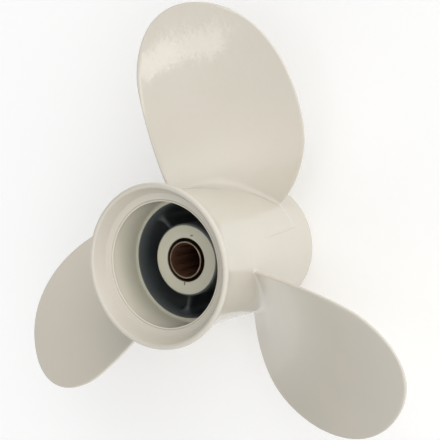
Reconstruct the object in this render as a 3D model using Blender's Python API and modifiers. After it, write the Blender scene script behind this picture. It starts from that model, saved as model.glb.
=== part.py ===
"""Three-blade outboard motor propeller with an exhaust outlet through its hub.

The object is one aluminium casting (barrel, flared outlet, three blades, three webs and an inner hub),
with a rubber damper and a splined brass sleeve pressed in the inner hub.
The shaft axis is Z. The front rim, which faces the motor, lies at z = 0, and +Z points aft.
"""
import math

import bmesh
import bpy
from mathutils import Vector

MM = 0.001
GAP = 0.3 * MM              # clearance between pieces that touch on the real object
MERGE = 0.00001

# Barrel: the outer tube, its flared outlet and its stepped mouth
BARREL_LENGTH = 97 * MM
FRONT_RADIUS = 33.7 * MM
NECK_RADIUS = 35.0 * MM     # where the outlet starts to flare
NECK_Z = 80 * MM
LIP_RADIUS = 39.7 * MM
LIP_ROUND = 1.5 * MM        # radius of the rounded rim
FLARE_BEND = 2.6            # how late the flare opens out
SHOULDER_DEPTH = 7.2 * MM   # the mouth's shoulder, where the flare ends
SHOULDER_OUTER = 33.2 * MM
SHOULDER_CORNER = 1.6 * MM
THROAT_RADIUS = 31.0 * MM
THROAT_DEPTH = 7.5 * MM
COUNTERBORE_RADIUS = 30.0 * MM
COUNTERBORE_DEPTH = 10.0 * MM
LEDGE_DEPTH = 26 * MM
PASSAGE_REAR_RADIUS = 28.8 * MM
PASSAGE_FRONT_RADIUS = 29.9 * MM
FRONT_CHAMFER = 0.5 * MM

# Inner hub: the thick tube that holds the damper
LEDGE_Z = BARREL_LENGTH - LEDGE_DEPTH
HUB_REAR_Z = LEDGE_Z
HUB_FRONT_Z = 12 * MM
HUB_RADIUS = 18 * MM
HUB_EDGE = 1.0 * MM
HUB_BORE = 14 * MM
HUB_END_WALL = 7 * MM
HUB_END_HOLE = 10.7 * MM
SEAT_RADIUS = 15.5 * MM     # counterbore at the hub's front
SEAT_DEPTH = 3 * MM

# Webs between the inner hub and the barrel
WEB_THICKNESS = 2.8 * MM
WEB_REAR_Z = 62 * MM
WEB_FRONT_Z = 14 * MM
WEB_ANGLE = 21.5            # degrees, of the first web

# Damper and splined sleeve
SLEEVE_RADIUS = 9.2 * MM
SLEEVE_FRONT_Z = 9 * MM
SLEEVE_REAR_Z = HUB_REAR_Z + 0.5 * MM
SPLINE_COUNT = 10
SPLINE_ROOT_RADIUS = 8.1 * MM
SPLINE_TIP_RADIUS = 7.2 * MM
DAMPER_FRONT_Z = 17 * MM
DAMPER_REAR_Z = HUB_REAR_Z - HUB_END_WALL - GAP
DAMPER_CHAMFER = 1.0 * MM

# Blades: helical, raked aft, with their sections wrapped on cylinders about the shaft
BLADE_COUNT = 3
FIRST_BLADE_ANGLE = 90.0    # degrees, of the first blade's reference line
ROOT_RADIUS = 32 * MM       # the blade starts inside the barrel's wall
TIP_RADIUS = 125.5 * MM
PITCH = 224.5 * MM          # at PITCH_RADIUS
PITCH_RADIUS = 80 * MM
PITCH_LOSS = 0.18           # pitch lost for each unit of radius
BLADE_Z = 45.6 * MM         # reference line at the root
RAKE = 0.1855
RAKE_CURVE = -0.4           # per metre
ROOT_THICKNESS = 6.0 * MM
TIP_THICKNESS = 2.2 * MM
EDGE_THICKNESS = 1.5 * MM
FILLET_HEIGHT = 9.0 * MM
FILLET_WIDTH = 5.5 * MM
EDGE_FILLET = 0.3           # share of the root fillet left at the blade's edges
THICKNESS_TAPER = 0.75      # how early the thickness falls off towards the tip
SECTION_CROWN = 0.8         # below 1, the section is fuller near its edges

# The blade's outline, laid flat: (along the section, from the axis), trailing edge positive.
# Each row is an anchor with the handles before and after it, as on a Bezier curve.
OUTLINE = {
    "leading_root": ((-35.0, 32.0), None, (-40.5, 39.5)),
    "leading_edge": ((-48.5, 72.5), (-48.5, 58.5), (-48.5, 88.0)),
    "tip": ((9.0, 125.5), (-34.0, 125.5), (30.5, 125.5)),
    "trailing_edge": ((39.0, 94.0), (39.0, 112.5), (39.0, 83.0)),
    "trailing_root": ((23.5, 32.0), (26.0, 38.0), None),
}

# Fineness
SIDES = 64
SPLINE_POINTS = 6           # points of the sleeve's bore for each spline
SPLINE_TIP_POINTS = 3       # of these, the points on the spline's tip
RIM_STEPS = 9
CORNER_STEPS = 3
FLARE_STEPS = 7
CHORD_STEPS = 14
RADIAL_STEPS = 16
CURVE_STEPS = 40            # for each Bezier segment
OUTLINE_STEPS = 400         # round the whole outline
LEADING_CORNER = 165        # the outline's step where the blade's tip starts
TRAILING_CORNER = 255       # and where it ends


def clear_scene():
    """Removes every object, so that the script can run again in an open file."""
    for item in list(bpy.data.objects):
        bpy.data.objects.remove(item, do_unlink=True)


def make_collection(name):
    """A fresh collection in the scene."""
    old = bpy.data.collections.get(name)
    if old:
        bpy.data.collections.remove(old)
    collection = bpy.data.collections.new(name)
    bpy.context.scene.collection.children.link(collection)
    return collection


def make_material(name, color, roughness, metallic):
    """A Principled material."""
    material = bpy.data.materials.new(name)
    material.use_nodes = True
    shader = material.node_tree.nodes["Principled BSDF"]
    shader.inputs["Base Color"].default_value = (*color, 1.0)
    shader.inputs["Roughness"].default_value = roughness
    shader.inputs["Metallic"].default_value = metallic
    material.diffuse_color = (*color, 1.0)
    return material


def make_object(name, mesh, collection, material=None):
    """An object for a mesh, linked to its collection."""
    item = bpy.data.objects.new(name, mesh)
    collection.objects.link(item)
    if material:
        mesh.materials.append(material)
    return item


def mark_cutter(item):
    """Keeps a Boolean's other solid out of the model."""
    item.hide_render = True
    item.display_type = "WIRE"


def arc(center, radius, start, end, steps):
    """Points of an arc in a profile, from one angle to the other, in degrees."""
    points = []
    for i in range(steps + 1):
        angle = math.radians(start + (end - start) * i / steps)
        points.append((center[0] + radius * math.cos(angle), center[1] + radius * math.sin(angle)))
    return points


def turned(name, profile, sides, collection, material=None):
    """A closed profile of (radius, z), outer side from top to bottom, turned about Z by a Screw modifier."""
    mesh = bpy.data.meshes.new(name)
    vertices = [(radius, 0.0, z) for radius, z in profile]
    edges = [(i, (i + 1) % len(profile)) for i in range(len(profile))]
    mesh.from_pydata(vertices, edges, [])
    item = make_object(name, mesh, collection, material)
    screw = item.modifiers.new("Turn", "SCREW")
    screw.steps = sides
    screw.render_steps = sides
    screw.use_merge_vertices = True
    screw.merge_threshold = MERGE
    screw.use_smooth_shade = True
    return item


def barrel_profile():
    """The barrel's section: flared lip, outer wall, front rim, exhaust passage, ledge and stepped mouth."""
    rim = (LIP_RADIUS - LIP_ROUND, BARREL_LENGTH - LIP_ROUND)
    flare_rise = rim[1] - NECK_Z
    flare_width = LIP_RADIUS - NECK_RADIUS
    shoulder_z = BARREL_LENGTH - SHOULDER_DEPTH
    points = arc(rim, LIP_ROUND, 135, 0, RIM_STEPS)
    for i in range(1, FLARE_STEPS + 1):
        t = 1 - i / FLARE_STEPS
        points.append((NECK_RADIUS + flare_width * t ** FLARE_BEND, NECK_Z + flare_rise * t))
    points += [(FRONT_RADIUS, FRONT_CHAMFER), (FRONT_RADIUS - FRONT_CHAMFER, 0.0)]
    points += [(PASSAGE_FRONT_RADIUS, 0.0), (PASSAGE_REAR_RADIUS, LEDGE_Z), (COUNTERBORE_RADIUS, LEDGE_Z)]
    points += [(COUNTERBORE_RADIUS, BARREL_LENGTH - COUNTERBORE_DEPTH)]
    points += [(THROAT_RADIUS, BARREL_LENGTH - THROAT_DEPTH)]
    corner = (SHOULDER_OUTER, shoulder_z + SHOULDER_CORNER)
    points += arc(corner, SHOULDER_CORNER, 270, 315, CORNER_STEPS)
    return points


def inner_hub_profile():
    """The inner hub's section: end wall with the hole for the sleeve, bore and front counterbore."""
    wall_z = HUB_REAR_Z - HUB_END_WALL
    seat_z = HUB_FRONT_Z + SEAT_DEPTH
    points = [(HUB_END_HOLE, HUB_REAR_Z)]
    points += arc((HUB_RADIUS - HUB_EDGE, HUB_REAR_Z - HUB_EDGE), HUB_EDGE, 90, 0, CORNER_STEPS)
    points += [(HUB_RADIUS, HUB_FRONT_Z), (SEAT_RADIUS, HUB_FRONT_Z), (SEAT_RADIUS, seat_z)]
    points += [(HUB_BORE, seat_z), (HUB_BORE, wall_z), (HUB_END_HOLE, wall_z)]
    return points


def make_web(index, collection):
    """A flat web that ends inside the hub's wall and inside the barrel's wall."""
    inner = (HUB_BORE + HUB_RADIUS) / 2
    outer = (PASSAGE_FRONT_RADIUS + FRONT_RADIUS) / 2
    bpy.ops.mesh.primitive_cube_add(size=1.0)
    item = bpy.context.object
    item.name = f"web_{index + 1}"
    mesh = item.data
    for vertex in mesh.vertices:
        x = inner if vertex.co.x < 0 else outer
        z = WEB_FRONT_Z if vertex.co.z < 0 else WEB_REAR_Z
        vertex.co = Vector((x, vertex.co.y * WEB_THICKNESS, z))
    item.rotation_euler.z = math.radians(WEB_ANGLE + 360 / BLADE_COUNT * index)
    for owner in list(item.users_collection):
        owner.objects.unlink(item)
    collection.objects.link(item)
    return item


def bezier(p0, p1, p2, p3, t):
    """A point of a cubic Bezier segment."""
    s = 1 - t
    weights = (s ** 3, 3 * s * s * t, 3 * s * t * t, t ** 3)
    return tuple(sum(w * p[k] for w, p in zip(weights, (p0, p1, p2, p3))) for k in range(2))


def outline_path(first, last):
    """Closely spaced points of the outline between two anchors, in metres."""
    names = list(OUTLINE)
    path = []
    for a, b in zip(names[names.index(first):names.index(last)], names[names.index(first) + 1:]):
        start, after = OUTLINE[a][0], OUTLINE[a][2]
        end, before = OUTLINE[b][0], OUTLINE[b][1]
        path += [bezier(start, after, before, end, i / CURVE_STEPS) for i in range(CURVE_STEPS)]
    path.append(OUTLINE[last][0])
    return [(u * MM, r * MM) for u, r in path]


def spread(path, count):
    """The path as count + 1 points at even distances."""
    lengths = [0.0]
    for a, b in zip(path, path[1:]):
        lengths.append(lengths[-1] + math.dist(a, b))
    result = []
    j = 0
    for i in range(count + 1):
        wanted = lengths[-1] * i / count
        while j < len(path) - 2 and lengths[j + 1] < wanted:
            j += 1
        t = (wanted - lengths[j]) / (lengths[j + 1] - lengths[j])
        result.append(tuple(a + (b - a) * t for a, b in zip(path[j], path[j + 1])))
    return result


def inset(path, distance):
    """The path moved to its right, which is the outline's inner side, by a distance."""
    result = []
    for i, (u, r) in enumerate(path):
        before, after = path[max(i - 1, 0)], path[min(i + 1, len(path) - 1)]
        du, dr = after[0] - before[0], after[1] - before[1]
        length = math.hypot(du, dr)
        result.append((u + dr / length * distance, r - du / length * distance))
    return result


def outline_sides(distance):
    """The inset outline's root, leading, tip and trailing sides, running aft or outwards."""
    whole = spread(outline_path("leading_root", "trailing_root"), OUTLINE_STEPS)
    whole = inset(whole, distance)
    leading = spread(whole[:LEADING_CORNER + 1], RADIAL_STEPS)
    tip = spread(whole[LEADING_CORNER:TRAILING_CORNER + 1], CHORD_STEPS)
    trailing = spread(whole[TRAILING_CORNER:], RADIAL_STEPS)[::-1]
    root = spread([leading[0], trailing[0]], CHORD_STEPS)
    return root, leading, tip, trailing


def blend_patch(root, leading, tip, trailing):
    """Rows of (u, r) points that fill the outline, blended from its four sides."""
    rows = []
    for j in range(RADIAL_STEPS + 1):
        t = j / RADIAL_STEPS
        row = []
        for i in range(CHORD_STEPS + 1):
            s = i / CHORD_STEPS
            point = []
            for k in range(2):
                across = (1 - s) * leading[j][k] + s * trailing[j][k]
                along = (1 - t) * root[i][k] + t * tip[i][k]
                corners = (1 - s) * (1 - t) * root[0][k] + s * (1 - t) * root[-1][k]
                corners += (1 - s) * t * tip[0][k] + s * t * tip[-1][k]
                point.append(across + along - corners)
            row.append(tuple(point))
        rows.append(row)
    return rows


def section_thickness(across, radius):
    """The blade's thickness at a share of the chord and a radius."""
    share = min(1.0, (radius - ROOT_RADIUS) / (TIP_RADIUS - ROOT_RADIUS))
    middle = ROOT_THICKNESS + (TIP_THICKNESS - ROOT_THICKNESS) * share ** THICKNESS_TAPER
    return EDGE_THICKNESS + (middle - EDGE_THICKNESS) * math.sin(math.pi * across) ** SECTION_CROWN


def fillet_growth(radius):
    """How far the root fillet stands out from a blade face at a radius."""
    share = min(1.0, max(0.0, (radius - NECK_RADIUS) / FILLET_HEIGHT))
    return FILLET_WIDTH * (1 - share) ** 2


def blade_point(u, radius, offset, turn):
    """A point u along the helical section at a radius, offset aft of it, for a blade turned by an angle."""
    pitch = PITCH - PITCH_LOSS * (radius - PITCH_RADIUS)
    lead = math.atan2(pitch, 2 * math.pi * radius)
    angle = turn + (u * math.cos(lead) - offset * math.sin(lead)) / radius
    beyond = radius - ROOT_RADIUS
    z = BLADE_Z + RAKE * beyond + RAKE_CURVE * beyond ** 2
    z += u * math.sin(lead) + offset * math.cos(lead)
    return (radius * math.cos(angle), radius * math.sin(angle), z)


def face_offset(across, radius, side):
    """How far a face of the blade stands from the helical surface, aft positive."""
    growth = fillet_growth(radius) * (EDGE_FILLET + (1 - EDGE_FILLET) * math.sin(math.pi * across))
    if side == "aft":
        return EDGE_THICKNESS / 2 + growth
    return EDGE_THICKNESS / 2 - section_thickness(across, radius) - growth


def make_blade(index, collection):
    """A blade: its flat aft face follows the helix, its front face is crowned and its edge is blunt."""
    turn = math.radians(FIRST_BLADE_ANGLE + 360 / BLADE_COUNT * index)
    data = bmesh.new()

    def vertex(point, offset):
        return data.verts.new(blade_point(point[0], point[1], offset, turn))

    rows = blend_patch(*outline_sides(EDGE_THICKNESS / 2))
    grids = {}
    for side in ("aft", "front"):
        grids[side] = [[vertex(p, face_offset(i / CHORD_STEPS, p[1], side)) for i, p in enumerate(row)]
                       for row in rows]
    aft, front = grids["aft"], grids["front"]
    for j in range(RADIAL_STEPS):
        for i in range(CHORD_STEPS):
            data.faces.new((aft[j][i], aft[j][i + 1], aft[j + 1][i + 1], aft[j + 1][i]))
            data.faces.new((front[j][i], front[j + 1][i], front[j + 1][i + 1], front[j][i + 1]))

    _, leading, tip, trailing = outline_sides(0.0)
    edge_path = leading + tip[1:-1] + trailing[::-1]
    edge = [vertex(p, 0.0) for p in edge_path]
    rims = {}
    for side, grid in grids.items():
        rims[side] = [row[0] for row in grid] + grid[-1][1:-1] + [row[-1] for row in grid[::-1]]
    for k in range(len(edge) - 1):
        data.faces.new((rims["aft"][k], rims["aft"][k + 1], edge[k + 1], edge[k]))
        data.faces.new((rims["front"][k], edge[k], edge[k + 1], rims["front"][k + 1]))
    for i in range(CHORD_STEPS):
        data.faces.new((aft[0][i], front[0][i], front[0][i + 1], aft[0][i + 1]))
    data.faces.new((aft[0][0], edge[0], front[0][0]))
    data.faces.new((aft[0][-1], front[0][-1], edge[-1]))
    bmesh.ops.recalc_face_normals(data, faces=data.faces)
    mesh = bpy.data.meshes.new(f"blade_{index + 1}")
    data.to_mesh(mesh)
    data.free()
    return make_object(f"blade_{index + 1}", mesh, collection)


def join_solid(item, other, name):
    """Unites another solid with the object by a Boolean modifier."""
    union = item.modifiers.new(name, "BOOLEAN")
    union.operation = "UNION"
    union.solver = "EXACT"
    union.object = other


def make_casting(parts, tools):
    """The whole casting: the barrel united with the inner hub, the webs and the blades."""
    paint = make_material("off_white_paint", (0.72, 0.69, 0.60), 0.3, 0.0)
    casting = turned("propeller_casting", barrel_profile(), SIDES, parts, paint)
    others = [turned("inner_hub", inner_hub_profile(), SIDES, tools)]
    others += [make_web(i, tools) for i in range(BLADE_COUNT)]
    others += [make_blade(i, tools) for i in range(BLADE_COUNT)]
    for other in others:
        mark_cutter(other)
        join_solid(casting, other, f"Join {other.name}")
    return casting


def make_damper(parts):
    """The rubber bush between the inner hub's bore and the sleeve."""
    rubber = make_material("black_rubber", (0.02, 0.02, 0.02), 0.7, 0.0)
    outer = HUB_BORE - GAP
    inner = SLEEVE_RADIUS + GAP
    cut = DAMPER_CHAMFER
    profile = [(inner, DAMPER_REAR_Z), (outer - cut, DAMPER_REAR_Z), (outer, DAMPER_REAR_Z - cut)]
    profile += [(outer, DAMPER_FRONT_Z + cut), (outer - cut, DAMPER_FRONT_Z), (inner, DAMPER_FRONT_Z)]
    return turned("rubber_damper", profile, SIDES, parts, rubber)


def make_sleeve(parts):
    """The brass sleeve: a round outside and straight-sided splines inside."""
    brass = make_material("brass", (0.42, 0.27, 0.14), 0.35, 1.0)
    sides = SPLINE_COUNT * SPLINE_POINTS
    outer, inner = [], []
    for i in range(sides):
        angle = 2 * math.pi * i / sides
        outer.append((SLEEVE_RADIUS * math.cos(angle), SLEEVE_RADIUS * math.sin(angle)))
        radius = SPLINE_TIP_RADIUS if i % SPLINE_POINTS < SPLINE_TIP_POINTS else SPLINE_ROOT_RADIUS
        inner.append((radius * math.cos(angle), radius * math.sin(angle)))
    mesh_data = bmesh.new()
    rings = []
    for points in (outer, inner):
        for z in (SLEEVE_FRONT_Z, SLEEVE_REAR_Z):
            rings.append([mesh_data.verts.new((x, y, z)) for x, y in points])
    pairs = ((rings[0], rings[1]), (rings[1], rings[3]), (rings[3], rings[2]), (rings[2], rings[0]))
    for low, high in pairs:
        for i in range(sides):
            n = (i + 1) % sides
            mesh_data.faces.new((low[i], low[n], high[n], high[i]))
    bmesh.ops.recalc_face_normals(mesh_data, faces=mesh_data.faces)
    mesh = bpy.data.meshes.new("splined_sleeve")
    mesh_data.to_mesh(mesh)
    mesh_data.free()
    return make_object("splined_sleeve", mesh, parts, brass)


def main():
    """Builds the propeller."""
    clear_scene()
    parts = make_collection("propeller")
    tools = make_collection("propeller_tools")
    make_casting(parts, tools)
    make_damper(parts)
    make_sleeve(parts)


main()
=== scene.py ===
# %% [markdown]
# # A three-blade outboard propeller
#
# The real object is one aluminium casting: a barrel that lets the exhaust out through a flared mouth,
# three blades, and an inner hub on three webs. A rubber bush and a brass sleeve are pressed in the hub.
# The casting is primed black and then sprayed off-white, so the deep passages stay black.
#
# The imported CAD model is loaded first. It fixes every size and place, and each finished piece here stands
# for one of its nodes. It stands on its front rim, with the shaft axis along Z and the mouth on top.

# %% Load the frame
import math

import bmesh
import bpy
import numpy as np
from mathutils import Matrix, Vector, geometry


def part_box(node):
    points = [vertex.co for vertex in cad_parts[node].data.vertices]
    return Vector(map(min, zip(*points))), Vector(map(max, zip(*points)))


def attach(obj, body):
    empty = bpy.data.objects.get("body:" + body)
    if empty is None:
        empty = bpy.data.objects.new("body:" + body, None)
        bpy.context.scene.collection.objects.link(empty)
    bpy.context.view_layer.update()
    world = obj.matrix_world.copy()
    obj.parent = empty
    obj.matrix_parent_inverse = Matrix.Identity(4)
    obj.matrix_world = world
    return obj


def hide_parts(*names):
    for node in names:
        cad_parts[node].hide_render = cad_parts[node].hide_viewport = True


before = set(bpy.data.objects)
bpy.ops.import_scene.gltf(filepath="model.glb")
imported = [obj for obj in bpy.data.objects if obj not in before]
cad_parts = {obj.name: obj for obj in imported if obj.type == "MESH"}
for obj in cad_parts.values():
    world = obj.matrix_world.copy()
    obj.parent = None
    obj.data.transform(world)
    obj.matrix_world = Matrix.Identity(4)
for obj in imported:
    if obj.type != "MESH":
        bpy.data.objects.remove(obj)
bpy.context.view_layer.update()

# %% [markdown]
# ## Sizes
#
# Lengths are in metres. What the CAD nodes' boxes can tell is read from them. The other sizes are the same
# driving dimensions that the CAD model was drawn with.

# %% Sizes read from the frame
MM = 0.001


def widest(node, low, high):
    """The largest distance from the shaft axis on a CAD node, between two heights."""
    points = [v.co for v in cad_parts[node].data.vertices]
    return max(math.hypot(p.x, p.y) for p in points if low <= p.z <= high)


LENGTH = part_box("propeller_casting")[1].z
LIP_RADIUS = widest("propeller_casting", LENGTH - 4 * MM, LENGTH)
SLEEVE_RADIUS = widest("splined_sleeve", 0, LENGTH)
SLEEVE_FRONT, SLEEVE_REAR = (corner.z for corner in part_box("splined_sleeve"))
BUSH_RADIUS = widest("rubber_damper", 0, LENGTH)
BUSH_FRONT, BUSH_REAR = (corner.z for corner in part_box("rubber_damper"))
print(f"length {LENGTH:.4f}, lip radius {LIP_RADIUS:.4f}, sleeve radius {SLEEVE_RADIUS:.4f}")

# %% Sizes of the barrel, the mouth, the hub and the webs
FRONT_RADIUS = 33.7 * MM
NECK_RADIUS = 35.0 * MM             # where the barrel's wall starts to flare
NECK_Z = 80 * MM
RIM_EDGE = 0.5 * MM                 # the chamfer of the front rim
LIP_ROUND = 1.5 * MM
FLARE_BEND = 2.6                    # how late the wall starts to flare
SHOULDER_Z = LENGTH - 6.7 * MM
SHOULDER_TILT = 0.1 * MM            # its outer corner is this much higher, its inner one this much lower
SHOULDER_OUTER = 34.3 * MM
GROOVE_OUTER, GROOVE_INNER = 31.4 * MM, 30.85 * MM     # a fine groove that the tool left in the shoulder
GROOVE_DEPTH = 0.6 * MM
SHOULDER_FALL = 0.4 * MM            # from the shoulder's outer to its inner edge
THROAT_ROUND = 0.45 * MM
COUNTERBORE_RADIUS = 30.25 * MM
COUNTERBORE_Z = LENGTH - 10 * MM
LEDGE_Z = LENGTH - 26 * MM
PASSAGE_REAR_RADIUS = 28.8 * MM
PASSAGE_FRONT_RADIUS = 29.9 * MM
HUB_RADIUS = 18 * MM
HUB_FRONT_Z = 12 * MM
HUB_BORE = 14 * MM
HUB_END_WALL = 7 * MM
HUB_HOLE = 10.7 * MM
SEAT_RADIUS = 15.5 * MM
SEAT_DEPTH = 3 * MM
WEB_THICKNESS = 2.8 * MM
WEB_FRONT_Z, WEB_REAR_Z = 14 * MM, 62 * MM
WEB_ANGLE = 21.5                    # degrees, of the first web
print(f"barrel from {FRONT_RADIUS:.4f} to {NECK_RADIUS:.4f}, hub radius {HUB_RADIUS:.4f}")

# %% Sizes of the blades
BLADES = 3
BLADE_ANGLE = 90.0                  # degrees, of the first blade
TIP_RADIUS = 125.5 * MM
BLADE_ROOT = 32 * MM                # the outline starts inside the barrel's wall
PITCH = 224.5 * MM                  # at PITCH_RADIUS
PITCH_RADIUS = 80 * MM
PITCH_LOSS = 0.18                   # metres of pitch lost for each metre farther out
BLADE_Z = 45.6 * MM
RAKE = 0.1855                       # how far a blade leans aft, as a share of its height
RAKE_CURVE = -0.4                   # added to the rake for each metre farther out
ROOT_THICKNESS = 6.0 * MM
TIP_THICKNESS = 2.2 * MM
EDGE_THICKNESS = 1.5 * MM
THICKNESS_TAPER = 0.75              # under 1, the blade gets thinner mostly near the root
SECTION_CROWN = 0.8                 # under 1, the front face is fuller near the edges
INSET = 0.2 * MM                    # keeps the smooth outline inside the faceted CAD solid
BARREL_MEAN = (FRONT_RADIUS + NECK_RADIUS) / 2

# The outline laid flat, in millimetres: (along the section, from the axis), trailing edge positive.
# Each row is an anchor with the handles before and after it.
OUTLINE = {
    "leading root": ((-35.0, 32.0), None, (-40.5, 39.5)),
    "leading edge": ((-48.5, 72.5), (-48.5, 58.5), (-48.5, 88.0)),
    "tip": ((9.0, 125.5), (-34.0, 125.5), (30.5, 125.5)),
    "trailing edge": ((39.0, 94.0), (39.0, 112.5), (39.0, 83.0)),
    "trailing root": ((23.5, 32.0), (26.0, 38.0), None),
}
print(f"blade radius {TIP_RADIUS:.4f}, mean barrel radius {BARREL_MEAN:.4f}")

# %% [markdown]
# ## Finishes
#
# The paint is a gloss off-white with the slight orange peel of sprayed enamel: a fine bump under a clear
# coat. In the mouth its colour carries painted light and painted shade: it is lighter than the outside paint
# at the top of the wall, and darker towards the ledge and the inner hub's end, partly a thin coat over the
# primer and partly painted shade. Rust-brown stains have run on the inner hub's end. The primer deep inside
# is near black, with some overspray near the mouth. Rubber and brass are old and brown.
#
# Photographs of each finish could be wrapped on, but noise textures and distances need no seams and stay
# sharp close by. Each finish is a function that makes one material from such nodes. What is the same all
# over goes on the shader's own sockets, and only what varies is linked.


# %% Small helpers for node trees
def add_node(tree, kind, values=None, **settings):
    """Adds a node, sets its properties, and fills or links its inputs by name or number."""
    node = tree.nodes.new(kind)
    for name, value in settings.items():
        setattr(node, name, value)
    for key, value in (values or {}).items():
        if isinstance(value, bpy.types.NodeSocket):
            tree.links.new(value, node.inputs[key])
        else:
            node.inputs[key].default_value = value
    return node


def calc(tree, operation, *values):
    """One step of arithmetic on numbers or sockets."""
    return add_node(tree, "ShaderNodeMath", dict(enumerate(values)), operation=operation).outputs[0]


print("helpers:", add_node.__name__, calc.__name__)


# %% Helpers for finishes
def new_material(name, roughness, **sockets):
    """A material with its Principled shader, and the shader's constant sockets set."""
    material = bpy.data.materials.new(name)
    material.use_nodes = True
    shader = material.node_tree.nodes["Principled BSDF"]
    shader.inputs["Roughness"].default_value = roughness
    for key, value in sockets.items():
        shader.inputs[key.replace("_", " ")].default_value = value
    return material, material.node_tree, shader


def noise(tree, place, scale, detail):
    """A noise texture's value on Object coordinates."""
    node = add_node(tree, "ShaderNodeTexNoise", {"Vector": place, "Scale": scale, "Detail": detail})
    return node.outputs["Fac"]


def mix_colors(tree, factor, a, b):
    """A colour between two colours, by a factor."""
    node = add_node(tree, "ShaderNodeMix", {0: factor, 6: a, 7: b}, data_type="RGBA")
    return node.outputs[2]


def spread_range(tree, value, low, high, to_low, to_high):
    """A value mapped from one range to another, and held inside it."""
    node = add_node(tree, "ShaderNodeMapRange", {0: value, 1: low, 2: high, 3: to_low, 4: to_high})
    return node.outputs[0]


def around_shaft(tree, place):
    """The distance from the shaft axis, and the height along it."""
    flat = add_node(tree, "ShaderNodeVectorMath", {0: place, 1: (1.0, 1.0, 0.0)}, operation="MULTIPLY")
    radius = add_node(tree, "ShaderNodeVectorMath", {0: flat.outputs[0]}, operation="LENGTH")
    height = add_node(tree, "ShaderNodeSeparateXYZ", {0: place}).outputs[2]
    return radius.outputs["Value"], height


def add_bump(tree, shader, height, strength, distance, sockets=("Normal",)):
    """Bends the shader's normals by a height, as fine relief does."""
    values = {"Height": height, "Strength": strength, "Distance": distance}
    bump = add_node(tree, "ShaderNodeBump", values).outputs[0]
    for socket in sockets:
        tree.links.new(bump, shader.inputs[socket])


finish_helpers = (new_material, noise, mix_colors, spread_range, around_shaft, add_bump)
print("helpers:", *(helper.__name__ for helper in finish_helpers))

# %% Off-white gloss paint
PAINT = (0.665, 0.63, 0.54, 1.0)
PAINT_WARM = (0.685, 0.635, 0.55, 1.0)
PAINT_MOUTH_LIT = (0.79, 0.748, 0.63, 1.0)       # painted light: lighter than the outside paint, at the top of the mouth's wall
PAINT_THIN_AND_SHADED = (0.55, 0.534, 0.425, 1.0)          # at the ledge and the hub's end: a thin coat over black primer, darkened further as painted shade
DEEP_BEND = 1.5                     # how late the darkening towards the ledge starts: thin coat and painted shade
# Where the mouth's painted light and painted shade start: inside this radius and below this height
MOUTH_SHADING_EDGE = (COUNTERBORE_RADIUS + 0.7 * MM, COUNTERBORE_RADIUS + 0.3 * MM)
MOUTH_SHADING_TOP = (COUNTERBORE_Z + 4 * MM, COUNTERBORE_Z + 1 * MM)
STAIN = (0.06, 0.038, 0.02, 1.0)
STAIN_RADIUS = 11.2 * MM            # the end of the brown stain round the bush
PATCH_SCALE, SHEEN_SCALE, RAGGED_SCALE = 22.0, 90.0, 1500.0     # noise cells to the metre
PEEL_SCALE, WAVE_SCALE = 420.0, 70.0
WAVE_SHARE = 3.0                    # of the waves under the orange peel, beside the peel's own height
PEEL_DEPTH = 0.12 * MM
PAINT_SHEEN = (0.29, 0.37)          # the lowest and the highest roughness

# Each drip on the inner hub's end: its place (x, y) and its size, in millimetres.
DRIPS = (((3.0, 12.5), 0.9), ((2.3, 12.2), 0.6), ((0.0, -11.4), 1.0), ((0.1, -12.2), 0.7))


def dark_spot(tree, place, center, size):
    """1 inside a ragged spot on the inner hub's end, 0 outside it. Its place and size are in millimetres."""
    center = (center[0] * MM, center[1] * MM, LEDGE_Z)
    away = add_node(tree, "ShaderNodeVectorMath", {0: place, 1: center}, operation="DISTANCE")
    ragged = spread_range(tree, noise(tree, place, RAGGED_SCALE, 1.0), 0.3, 0.7, 0.0, size * MM / 2)
    away = calc(tree, "ADD", away.outputs["Value"], ragged)
    return spread_range(tree, away, size * MM, size * MM / 2, 0.0, 1.0)


def paint_color(tree, place):
    """Faint patches outside, painted light and painted shade in the mouth, stained round the bush."""
    patches = spread_range(tree, noise(tree, place, PATCH_SCALE, 3.0), 0.35, 0.65, 0.0, 1.0)
    color = mix_colors(tree, patches, PAINT, PAINT_WARM)
    radius, height = around_shaft(tree, place)
    # Painted light and painted shade in the mouth: lighter than the outside paint at the top of the wall,
    # darker towards the ledge
    depth = calc(tree, "POWER", spread_range(tree, height, COUNTERBORE_Z, LEDGE_Z, 0.0, 1.0), DEEP_BEND)
    wall = mix_colors(tree, depth, PAINT_MOUTH_LIT, PAINT_THIN_AND_SHADED)
    in_mouth = calc(tree, "MULTIPLY", spread_range(tree, radius, *MOUTH_SHADING_EDGE, 0.0, 1.0),
                    spread_range(tree, height, *MOUTH_SHADING_TOP, 0.0, 1.0))
    color = mix_colors(tree, in_mouth, color, wall)
    stain = spread_range(tree, radius, STAIN_RADIUS, HUB_HOLE, 0.0, 1.0)
    for center, size in DRIPS:
        stain = calc(tree, "MAXIMUM", stain, dark_spot(tree, place, center, size))
    return mix_colors(tree, stain, color, STAIN)


def make_paint():
    """Sprayed gloss enamel, with orange peel under a clear coat."""
    material, tree, shader = new_material("off_white_gloss", 0.32, Coat_Weight=1.0, Coat_Roughness=0.06)
    place = add_node(tree, "ShaderNodeTexCoord").outputs["Object"]
    tree.links.new(paint_color(tree, place), shader.inputs["Base Color"])
    rough = spread_range(tree, noise(tree, place, SHEEN_SCALE, 2.0), 0.3, 0.7, *PAINT_SHEEN)
    tree.links.new(rough, shader.inputs["Roughness"])
    peel, waves = noise(tree, place, PEEL_SCALE, 2.0), noise(tree, place, WAVE_SCALE, 1.0)
    height = calc(tree, "MULTIPLY_ADD", waves, WAVE_SHARE, peel)
    add_bump(tree, shader, height, 0.35, PEEL_DEPTH, ("Normal", "Coat Normal"))
    return material


paint = make_paint()
print("made", paint.name)

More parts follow.
